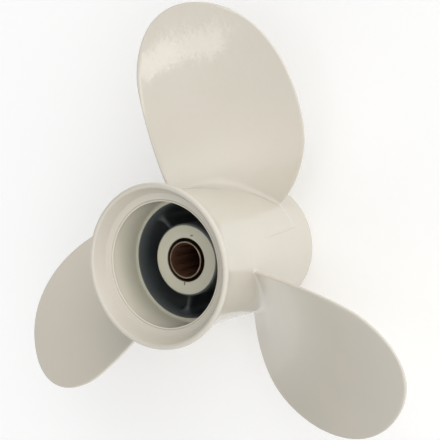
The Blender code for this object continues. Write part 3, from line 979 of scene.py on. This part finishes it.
# %% The tree that repeats a sector
def make_ring_tree():
    """Copies a sector round the shaft axis and welds the copies."""
    tree, given = new_tree("repeat_round_axis", ("Weld",), ("Count",))
    points = add_node(tree, "GeometryNodeMeshLine", {"Count": given["Count"], "Offset": (0.0, 0.0, 0.0)})
    index = add_node(tree, "GeometryNodeInputIndex").outputs[0]
    share = calc(tree, "DIVIDE", index, given["Count"])
    turn = add_node(tree, "ShaderNodeCombineXYZ", {2: calc(tree, "MULTIPLY", share, 2 * math.pi)})
    rotation = add_node(tree, "FunctionNodeEulerToRotation", {0: turn.outputs[0]}).outputs[0]
    copies = add_node(tree, "GeometryNodeInstanceOnPoints", {
        "Points": points.outputs[0], "Instance": given["Geometry"], "Rotation": rotation})
    real = add_node(tree, "GeometryNodeRealizeInstances", {0: copies.outputs[0]}).outputs[0]
    welded = add_node(tree, "GeometryNodeMergeByDistance", {"Geometry": real, "Distance": given["Weld"]})
    end_tree(tree, welded.outputs[0], given["Material"])
    return tree


ring_tree = make_ring_tree()
print("repeat_round_axis:", len(ring_tree.nodes), "nodes")

# %% The blades and the barrel's outside
CONE_FADE = 30 * MM                 # how far up the blades the barrel's cone is felt


def set_up_blades(item):
    """Adds the two trees with their inputs for the blades."""
    add_tree(item, roll_tree, {
        "Barrel radius": BARREL_MEAN, "Pitch": PITCH, "Pitch radius": PITCH_RADIUS,
        "Pitch loss": PITCH_LOSS, "Height": BLADE_Z, "Rake": RAKE, "Rake curve": RAKE_CURVE,
        "Root radius": BLADE_ROOT, "Turn": math.radians(BLADE_ANGLE), "Front radius": FRONT_RADIUS,
        "Front height": RIM_EDGE, "Rear radius": NECK_RADIUS, "Rear height": NECK_Z, "Fade": CONE_FADE,
        "Material": paint})
    add_tree(item, ring_tree, {"Weld": WELD, "Count": BLADES, "Material": paint})


blades = run_modifiers("blades", flat_blade, set_up_blades)
print("blades and barrel:", len(blades.vertices), "points,", len(blades.polygons), "faces")

# %% [markdown]
# ## The turned surfaces
#
# The lip, the mouth with its shoulder, fine groove and ledge, the front rim and the inner hub's ends are
# turned: a profile is drawn on one side of the shaft and swept round it. A Screw modifier does just that,
# and its steps are set so that the points meet those of the barrel.
#
# Each corner of the profile has its own small arc, since a cast or machined edge is never quite sharp and
# catches a line of light.


# %% Profiles with rounded corners
def arc_points(center, radius, start, end, steps):
    """Points of an arc in a profile, from one angle to another, in degrees."""
    angles = np.radians(np.linspace(start, end, steps + 1))
    return [(center[0] + radius * math.cos(a), center[1] + radius * math.sin(a)) for a in angles]


def rounded(corners, steps=4):
    """A profile of (radius, z, rounding) corners as points, each corner rounded by its own radius."""
    places = [np.array(corner[:2]) for corner in corners]
    points = [tuple(places[0])]
    for k in range(1, len(corners) - 1):
        before, here, after = places[k - 1], places[k], places[k + 1]
        size = corners[k][2]
        if not size:
            points.append(tuple(here))
            continue
        a = (before - here) / np.linalg.norm(before - here)
        b = (after - here) / np.linalg.norm(after - here)
        half = math.acos(np.clip(a @ b, -1, 1)) / 2
        reach = size / math.tan(half)
        middle = here + (a + b) / np.linalg.norm(a + b) * size / math.sin(half)
        first, last = here + a * reach - middle, here + b * reach - middle
        sweep = math.pi - 2 * half
        for i in range(steps + 1):
            t = i / steps
            mix = (math.sin((1 - t) * sweep) * first + math.sin(t * sweep) * last) / math.sin(sweep)
            points.append(tuple(middle + mix))
    return points + [tuple(places[-1])]


def turned(name, profile, steps, start):
    """A profile turned about the shaft axis, from a start angle in degrees."""
    angle = math.radians(start)
    mesh = bpy.data.meshes.new(name)
    points = [(r * math.cos(angle), r * math.sin(angle), z) for r, z in profile]
    mesh.from_pydata(points, [(i, i + 1) for i in range(len(points) - 1)], [])

    def set_up(item):
        screw = item.modifiers.new("Turn", "SCREW")
        screw.steps = screw.render_steps = steps
        screw.use_merge_vertices = True
        screw.merge_threshold = WELD

    return run_modifiers(name, mesh, set_up)


print("a rounded corner has", len(rounded([(0, 1, 0), (0, 0, 0.1), (1, 0, 0)])) - 2, "points")

# %% The lip and the mouth
FLARE_STEPS = 16
FLARE_CLEAR = 0.2 * MM              # the flare's last point stays this far below the lip's first
LIP_STEPS = 18
LIP_ARC = (-30, 150)                # degrees, from the flare over the top to the inside
MOUTH_STEPS = 5                     # round each corner in the mouth
SHOULDER_ROUND = 0.5 * MM
GROOVE_ROUNDS = (0.1 * MM, 0.05 * MM)       # at its edges and at its bottom
LEDGE_CORNER = 0.05 * MM            # between the counterbore's wall and the ledge
LEDGE_ROUND = 0.6 * MM              # at the ledge's inner edge
LEDGE_END = LEDGE_Z - 1.2 * MM      # where the turned ledge hands over to the passage's wall


def passage_radius(z):
    """The exhaust passage's outer wall, which tapers a little."""
    return PASSAGE_FRONT_RADIUS + (PASSAGE_REAR_RADIUS - PASSAGE_FRONT_RADIUS) * z / LEDGE_Z


def flare(t):
    """The barrel's outer wall between the neck and the lip."""
    rise = LENGTH - LIP_ROUND - NECK_Z
    return NECK_RADIUS + (LIP_RADIUS - NECK_RADIUS) * t ** FLARE_BEND, NECK_Z + rise * t


def mouth_profile():
    """From the neck over the lip, down the stepped mouth to the top of the exhaust passage."""
    outer = [flare(t) for t in np.linspace(0, 1, FLARE_STEPS + 1)]
    middle = (LIP_RADIUS - LIP_ROUND, LENGTH - LIP_ROUND)
    lip = arc_points(middle, LIP_ROUND, *LIP_ARC, LIP_STEPS)
    outer = [p for p in outer if p[1] < lip[0][1] - FLARE_CLEAR]
    inner_z = SHOULDER_Z - SHOULDER_FALL
    groove = ((GROOVE_OUTER + GROOVE_INNER) / 2, inner_z - GROOVE_DEPTH, GROOVE_ROUNDS[1])
    corners = [
        lip[-1] + (0,),
        (SHOULDER_OUTER, SHOULDER_Z + SHOULDER_TILT, SHOULDER_ROUND),
        (GROOVE_OUTER, inner_z, GROOVE_ROUNDS[0]), groove, (GROOVE_INNER, inner_z, GROOVE_ROUNDS[0]),
        (COUNTERBORE_RADIUS, inner_z - SHOULDER_TILT, THROAT_ROUND),
        (COUNTERBORE_RADIUS, LEDGE_Z, LEDGE_CORNER),
        (PASSAGE_REAR_RADIUS, LEDGE_Z, LEDGE_ROUND),
        (passage_radius(LEDGE_END), LEDGE_END, 0)]
    return outer + lip[:-1] + rounded(corners, MOUTH_STEPS)


mouth = turned("mouth", mouth_profile(), SIDES * BLADES, SECTOR_START)
print("mouth:", len(mouth.polygons), "faces")

# %% The front rim
PASSAGE_START = 0.4 * MM            # where the turned front rim hands over to the passage's wall
PASSAGE_ROUND = 0.25 * MM           # at the rim's inner edge
RIM_ROUND = 0.15 * MM               # at its outer edge

front_corners = [(passage_radius(PASSAGE_START), PASSAGE_START, 0), (PASSAGE_FRONT_RADIUS, 0, PASSAGE_ROUND),
                 (FRONT_RADIUS - RIM_EDGE, 0, RIM_ROUND), (FRONT_RADIUS, RIM_EDGE, 0)]
front_rim = turned("front_rim", rounded(front_corners), SIDES * BLADES, SECTOR_START)
print("front rim:", len(front_rim.polygons), "faces")

# %% The inner hub's ends
HUB_SIDES = 48                      # steps for each third
HUB_EDGE = 1.5 * MM
HUB_TOP = LEDGE_Z - 1.6 * MM        # where the turned ends hand over to the hub's side
HUB_FOOT = HUB_FRONT_Z + 0.9 * MM
wall_z, seat_z = LEDGE_Z - HUB_END_WALL, HUB_FRONT_Z + SEAT_DEPTH

# Each corner's radius, height and rounding, from the rear end through the bore to the front end.
hub_corners = [(HUB_RADIUS, HUB_TOP, 0), (HUB_RADIUS, LEDGE_Z, HUB_EDGE), (HUB_HOLE, LEDGE_Z, 0.5 * MM),
               (HUB_HOLE, wall_z, 0.4 * MM), (HUB_BORE, wall_z, 0.8 * MM), (HUB_BORE, seat_z, 0.3 * MM),
               (SEAT_RADIUS, seat_z, 0.4 * MM), (SEAT_RADIUS, HUB_FRONT_Z, 0.4 * MM),
               (HUB_RADIUS, HUB_FRONT_Z, 0.8 * MM), (HUB_RADIUS, HUB_FOOT, 0)]

hub_start = WEB_ANGLE - 180 / BLADES
hub = turned("inner_hub", rounded(hub_corners), HUB_SIDES * BLADES, hub_start)
print("inner hub:", len(hub.polygons), "faces")

# %% [markdown]
# ## The webs
#
# Three flat webs hold the inner hub in the barrel. A web is just a blade with an endless pitch: it runs
# straight along the shaft. So the same steps make it: a loop of columns, a fillet at each end, a plate
# round each foot, and the same tree to roll them up.

# %% One web, laid flat
WEB_FILLET = 4.0 * MM
WEB_FRONT_FILLET = 0.5 * MM         # at the front, where the hub is hardly longer than the webs
WEB_GROWTH = 3 * WEB_FILLET         # the length over which the front fillet grows to the full one
WEB_FILLET_STEPS = 6
WEB_APRON = 1.3                     # the outermost ring's distance, in fillets
WEB_MIDDLE = (0.33, 0.67)           # two more rings between the fillets
WEB_ROUND_STEPS = 6
WEB_SIDE_STEPS = 34
WEB_MEAN = (PASSAGE_FRONT_RADIUS + PASSAGE_REAR_RADIUS) / 2
WEB_DEPTH = WEB_MEAN - HUB_RADIUS
WEB_MIDDLE_Z = (WEB_FRONT_Z + WEB_REAR_Z) / 2
WEB_LEAD = math.pi / 2
ENDLESS_PITCH = 1e6                 # metres


def web_loop():
    """The web's section as a loop of (u, v), running clockwise, with round ends."""
    half = WEB_THICKNESS / 2
    straight = (WEB_REAR_Z - WEB_FRONT_Z) / 2 - half
    round_end = np.linspace(0, math.pi, WEB_ROUND_STEPS + 1)
    rear = [(straight + half * math.sin(a), half * math.cos(a)) for a in round_end]
    side = np.linspace(straight, -straight, WEB_SIDE_STEPS + 1)[1:-1]
    loop = rear + [(u, -half) for u in side]
    return np.array(loop + [(-u, -v) for u, v in loop])


def web_rings():
    """Rings from the hub's wall, up the web, to the barrel's wall."""
    loop = web_loop()
    at_wall = np.column_stack([loop, np.zeros(len(loop))])
    at_hub = at_wall - (0, 0, WEB_DEPTH)
    front = loop[:, 0].min()
    share = smooth(loop[:, 0], front, front + WEB_GROWTH)
    size = (WEB_FRONT_FILLET + (WEB_FILLET - WEB_FRONT_FILLET) * share)[:, None]
    out = loop_normals(at_wall) * size
    up = size * (0, 0, 1)
    low = conic(at_hub + up, at_hub, at_hub + out, WEB_FILLET_STEPS, FILLET_ROUNDNESS)[::-1]
    high = conic(at_wall - up, at_wall, at_wall + out, WEB_FILLET_STEPS, FILLET_ROUNDNESS)
    middle = [low[-1] + (high[0] - low[-1]) * t for t in WEB_MIDDLE]
    return [at_hub + out * WEB_APRON] + low + middle + high + [at_wall + out * WEB_APRON]


web = web_rings()
print("web:", len(web), "rings of", len(web[0]), "points")

# %% The passage's walls round the webs
STEPS_BACK = 27                     # whole steps, so that the wall's points still meet the ledge's
WEB_SECTOR_START = SECTOR_START - STEPS_BACK * 360 / BLADES / SIDES
WALL_SPACING = 1.5 * MM


def wall_plate(radius, start, low, high, sides, ring, h):
    """A third of a wall with a hole for the web's foot, as (u, v, h) points and faces."""
    left = math.radians(start - WEB_ANGLE) * radius
    right = left + math.radians(360 / BLADES) * radius
    foot = to_plate(ring, WEB_LEAD, WEB_MIDDLE_Z)
    points, faces = plate(left, right, low, high, sides, foot, WALL_SPACING)
    return from_plate(points, WEB_LEAD, WEB_MIDDLE_Z, h), faces


outer_wall = wall_plate(WEB_MEAN, WEB_SECTOR_START, PASSAGE_START, LEDGE_END, SIDES, web[-1], 0.0)
hub_wall = wall_plate(HUB_RADIUS, hub_start, HUB_FOOT, HUB_TOP, HUB_SIDES, web[0], -WEB_DEPTH)
flat_web = join_data(lofted(web), outer_wall, hub_wall)


def set_up_webs(item):
    """Adds the two trees with their inputs for the webs."""
    add_tree(item, roll_tree, {
        "Barrel radius": WEB_MEAN, "Pitch": ENDLESS_PITCH, "Height": WEB_MIDDLE_Z,
        "Turn": math.radians(WEB_ANGLE), "Front radius": PASSAGE_FRONT_RADIUS, "Front height": 0.0,
        "Rear radius": PASSAGE_REAR_RADIUS, "Rear height": LEDGE_Z, "Fade": WEB_DEPTH, "Material": primer})
    add_tree(item, ring_tree, {"Weld": WELD, "Count": BLADES, "Material": primer})


webs = run_modifiers("webs", flat_web, set_up_webs)
print("webs and passage walls:", len(webs.vertices), "points,", len(webs.polygons), "faces")

# %% [markdown]
# ## The casting in one piece
#
# All these skins now share their border points, so welding them closes one solid. A Boolean union could
# join them too, but it leaves slivers, and here every border was drawn to meet. The paint's edge follows
# the spray gun: everything that faces the outside is off-white, and the passages behind the ledge keep the
# black primer. Which of the two a face gets is told by its place.

# %% Weld, check and colour the casting
PRIMER_RADIUS = PASSAGE_REAR_RADIUS + 1.5 * MM     # inside it, and between these heights, all is primer
PRIMER_TOP = LEDGE_Z - 0.1 * MM
PRIMER_FOOT = 0.3 * MM


def weld(name, meshes, materials):
    """One closed mesh from several skins, with its normals pointing out."""
    whole = bmesh.new()
    for mesh in meshes:
        whole.from_mesh(mesh)
    bmesh.ops.remove_doubles(whole, verts=whole.verts, dist=WELD)
    bmesh.ops.recalc_face_normals(whole, faces=whole.faces)
    open_edges = sum(not edge.is_manifold for edge in whole.edges)
    mesh = bpy.data.meshes.new(name)
    whole.to_mesh(mesh)
    whole.free()
    mesh.materials.clear()
    for material in materials:
        mesh.materials.append(material)
    mesh.shade_smooth()
    print(f"{name}: {len(mesh.vertices)} points, {len(mesh.polygons)} faces, {open_edges} open edges")
    return mesh


def is_primer(center):
    """True in the passages, on the webs and in the hub's bore."""
    radius = math.hypot(center.x, center.y)
    return radius < PRIMER_RADIUS and PRIMER_FOOT < center.z < PRIMER_TOP


casting_mesh = weld("painted_casting", [blades, mouth, front_rim, hub, webs], [paint, primer])
for face in casting_mesh.polygons:
    face.material_index = int(is_primer(face.center))
print("triangles:", sum(len(face.vertices) - 2 for face in casting_mesh.polygons))


# %% Put the casting in the scene
def add_piece(mesh, node):
    """A finished piece that rides on the only body and stands for a CAD node."""
    piece = bpy.data.objects.new(mesh.name, mesh)
    bpy.context.scene.collection.objects.link(piece)
    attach(piece, "root")
    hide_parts(node)
    return piece


casting = add_piece(casting_mesh, "propeller_casting")
print("piece", casting.name)

# %% [markdown]
# ## The rubber bush
#
# The bush is pressed in the hub and drives the sleeve by friction. Rubber that is moulded to metal shrinks
# a little as it cools, so its two ends dish in between the metal walls. A closed profile turned with the
# Screw modifier makes such a ring in one step.

# %% The bush
BUSH_PLAY = 0.15 * MM               # between the bush and the sleeve
BUSH_INNER = SLEEVE_RADIUS + BUSH_PLAY
BUSH_DISH = 1.2 * MM
DISH_BEND = 0.8                     # under 1, the dish is fuller near the walls
DISH_STEPS = 12
BUSH_SIDES = 96


def bush_profile():
    """The bush's closed section, from its rear end outwards and forwards, and back along the sleeve."""
    width = BUSH_RADIUS - BUSH_INNER
    rear, front = [], []
    for t in np.linspace(0, 1, DISH_STEPS + 1):
        dish = BUSH_DISH * math.sin(math.pi * t) ** DISH_BEND
        rear.append((BUSH_INNER + width * t, BUSH_REAR - dish))
        front.append((BUSH_RADIUS - width * t, BUSH_FRONT + dish))
    return rear + front + rear[:1]


bush_mesh = weld("rubber_bush", [turned("bush", bush_profile(), BUSH_SIDES, 0)], [rubber])
bush = add_piece(bush_mesh, "rubber_damper")
print("piece", bush.name)

# %% [markdown]
# ## The splined sleeve
#
# Brass is soft enough to be broached: a toothed tool pulled through the bore cuts all ten splines at once.
# Ten cutters and a Boolean could do the same here, but one sector is cleaner: a section of the wall is drawn
# at each angle of one spline, with a higher or a lower bore, the sections are joined, and the tree copies
# the sector. The splines start a little below the rear end, where a long chamfer leads the shaft in.

# %% One spline and its copies
SPLINES = 10
SPLINE_ROOT, SPLINE_TIP = 8.1 * MM, 7.2 * MM
SPLINE_DEPTH = 3.0 * MM             # the splines start this deep in the bore
SPLINE_RUN_OUT = 3                  # the slope of their starting ends, in lengths to a height of 1
SLEEVE_CHAMFER = 0.25 * MM
LEAD_RADIUS, LEAD_DEPTH = 8.65 * MM, 1.0 * MM      # of the chamfer that leads the shaft in
SHARP_ANGLE = 35                    # degrees, above which an edge is shaded sharp

# Round one spline: the share of its sector, and 1 at its tip or 0 at its root.
SPLINE_SHAPE = ((0.0, 1), (0.1, 1), (0.2, 1), (0.3, 1), (0.36, 0.93), (0.4, 0.5), (0.44, 0.07), (0.5, 0),
                (0.6, 0), (0.7, 0), (0.8, 0), (0.86, 0.07), (0.9, 0.5), (0.94, 0.93), (1.0, 1))


def sleeve_section(bore):
    """The sleeve's wall at one angle, as a closed loop of (radius, z) from its rear outer edge."""
    c = SLEEVE_CHAMFER
    outer = [(SLEEVE_RADIUS - c, SLEEVE_REAR), (SLEEVE_RADIUS, SLEEVE_REAR - c),
             (SLEEVE_RADIUS, SLEEVE_FRONT + c), (SLEEVE_RADIUS - c, SLEEVE_FRONT)]
    start = SLEEVE_REAR - SPLINE_DEPTH
    full = start - SPLINE_RUN_OUT * (SPLINE_ROOT - bore)
    inner = [(bore + c, SLEEVE_FRONT), (bore, SLEEVE_FRONT + c), (bore, full),
             (SPLINE_ROOT, start), (SPLINE_ROOT, SLEEVE_REAR - LEAD_DEPTH), (LEAD_RADIUS, SLEEVE_REAR)]
    return outer + inner


def spline_sector():
    """One spline's share of the sleeve."""
    points, faces = [], []
    for share, is_tip in SPLINE_SHAPE:
        angle = 2 * math.pi / SPLINES * share
        bore = SPLINE_ROOT + (SPLINE_TIP - SPLINE_ROOT) * is_tip
        points += [(r * math.cos(angle), r * math.sin(angle), z) for r, z in sleeve_section(bore)]
    size = len(sleeve_section(SPLINE_ROOT))
    for start in range(0, len(points) - size, size):
        for k in range(size):
            n = (k + 1) % size
            faces.append((start + k, start + n, start + size + n, start + size + k))
    return join_data((points, faces))


def set_up_splines(item):
    """Adds the repeating tree with its inputs for the splines."""
    add_tree(item, ring_tree, {"Weld": WELD, "Count": SPLINES, "Material": brass})


sleeve_mesh = weld("brass_sleeve", [run_modifiers("splines", spline_sector(), set_up_splines)], [brass])
sleeve_mesh.set_sharp_from_angle(angle=math.radians(SHARP_ANGLE))
sleeve = add_piece(sleeve_mesh, "splined_sleeve")
print("piece", sleeve.name)

# %% [markdown]
# ## Floor, light and camera
#
# The propeller stands on its front rim on a white floor, which glows a little, as a light table does.
# Gloss paint mirrors what stands round it, and the hard edge of a softbox would show on the blades. So the
# light comes from a tent of white cloth all round, which is the world's background: its brightness changes
# softly with the direction and is highest towards the upper right of the picture. Two small strip lights
# hang above. Their mirror image is the bright patch on the first blade, and the orange peel makes its edge
# ragged.

# %% The floor
FLOOR_SIZE = 24.0
FLOOR_GLOW = 0.17                   # light that comes up through it
FLOOR_DROP = 0.05 * MM              # below the front rim
FLOOR_SHADE = 0.92


def make_floor():
    """A plain pale floor, as part of the stage."""
    half = FLOOR_SIZE / 2
    mesh = bpy.data.meshes.new("floor")
    corners = [(-half, -half), (half, -half), (half, half), (-half, half)]
    mesh.from_pydata([(x, y, -FLOOR_DROP) for x, y in corners], [], [(0, 1, 2, 3)])
    material, _, shader = new_material("white_floor", 0.9)
    shader.inputs["Base Color"].default_value = (FLOOR_SHADE,) * 3 + (1.0,)
    shader.inputs["Emission Color"].default_value = (1.0, 1.0, 1.0, 1.0)
    shader.inputs["Emission Strength"].default_value = FLOOR_GLOW
    mesh.materials.append(material)
    floor = bpy.data.objects.new("floor", mesh)
    bpy.context.scene.collection.objects.link(floor)
    return floor


floor = make_floor()
print("made", floor.name, FLOOR_SIZE, "m wide")

# %% The light tent
# The tent's brightness every 45 degrees round the shaft, from +X on, near the floor and half way up.
TENT_LOW = (0.9, 1.8, 1.3, 0.0, 0.1, 0.3, 0.0, 0.7)
TENT_HIGH = (1.8, 1.8, 1.7, 0.0, 0.0, 1.2, 0.8, 1.8)
TENT_FOOT, TENT_TOP = 0.7, 0.6      # at the floor and straight above
TENT_PEAK = 2.5                     # a ramp's colours end at 1, so they are shares of this

# The sines of the heights between which one row of values changes to the next.
FOOT_TO_LOW, LOW_TO_HIGH, HIGH_TO_TOP = (0.0, 0.22), (0.30, 0.60), (0.72, 0.92)


def tent_ramp(tree, turn, values):
    """The brightness round the shaft, with soft changes from value to value."""
    ramp = add_node(tree, "ShaderNodeValToRGB", {0: turn})
    ramp.color_ramp.interpolation = "B_SPLINE"
    stops = ramp.color_ramp.elements        # a new ramp has two
    for k, value in enumerate(values + values[:1]):
        if k < 2:
            stop = stops[k]
            stop.position = k / len(values)
        else:
            stop = stops.new(k / len(values))
        share = value / TENT_PEAK
        stop.color = (share, share, share, 1.0)
    return ramp.outputs[0]


def make_tent():
    """A white tent of cloth round the set, lit from outside, as the world's background."""
    world = bpy.data.worlds.new("light_tent")
    world.use_nodes = True
    tree = world.node_tree
    toward = add_node(tree, "ShaderNodeTexCoord").outputs["Generated"]
    x, y, z = add_node(tree, "ShaderNodeSeparateXYZ", {0: toward}).outputs
    turn = calc(tree, "FRACT", calc(tree, "DIVIDE", calc(tree, "ARCTAN2", y, x), 2 * math.pi))
    low, high = tent_ramp(tree, turn, TENT_LOW), tent_ramp(tree, turn, TENT_HIGH)
    foot, top = ((value / TENT_PEAK,) * 3 + (1.0,) for value in (TENT_FOOT, TENT_TOP))
    color = foot
    for heights, next_color in ((FOOT_TO_LOW, low), (LOW_TO_HIGH, high), (HIGH_TO_TOP, top)):
        color = mix_colors(tree, spread_range(tree, z, *heights, 0.0, 1.0), color, next_color)
    background = tree.nodes["Background"]
    tree.links.new(color, background.inputs["Color"])
    background.inputs["Strength"].default_value = TENT_PEAK
    return world


bpy.context.scene.world = make_tent()
bpy.context.scene.view_settings.view_transform = "Standard"
print("tent:", len(TENT_LOW), "directions")

# %% Strip lights
STRIP_COLOR = (1.0, 0.92, 0.87)

# Each hangs above and shines down: its place, width and length in metres, and watts.
STRIPS = {
    "strip_light": ((0.08, -0.01, 1.25), 0.10, 0.33, 0.26),
    "wide_strip_light": ((0.075, 0.06, 1.26), 0.155, 0.14, 0.08),
}

for name, (place, width, length, power) in STRIPS.items():
    light = bpy.data.lights.new(name, "AREA")
    light.shape = "RECTANGLE"
    light.size, light.size_y, light.energy = width, length, power
    light.color = STRIP_COLOR
    item = bpy.data.objects.new(name, light)
    item.location = place
    bpy.context.scene.collection.objects.link(item)
print("strip lights:", len(STRIPS))

# %% The camera
CAMERA_PLACE = (262.58, 88.498, 465.082)        # mm
CAMERA_TURN = (-6.42462, 32.09269, 3.34326)     # degrees
CAMERA_LENS, CAMERA_SENSOR = 80.235, 36         # mm
PICTURE_SIDE = 440                              # pixels
HALF_PIXEL = 0.5 / PICTURE_SIDE                 # a shift is a share of the picture's side

camera_data = bpy.data.cameras.new("camera")
camera_data.lens = CAMERA_LENS
camera_data.sensor_width = CAMERA_SENSOR
camera_data.clip_start = 10 * MM
camera_data.shift_x = -HALF_PIXEL
camera_data.shift_y = HALF_PIXEL
camera = bpy.data.objects.new("camera", camera_data)
camera.location = Vector(CAMERA_PLACE) * MM
camera.rotation_euler = [math.radians(a) for a in CAMERA_TURN]
bpy.context.scene.collection.objects.link(camera)
bpy.context.scene.camera = camera
print("camera:", CAMERA_LENS, "mm lens")
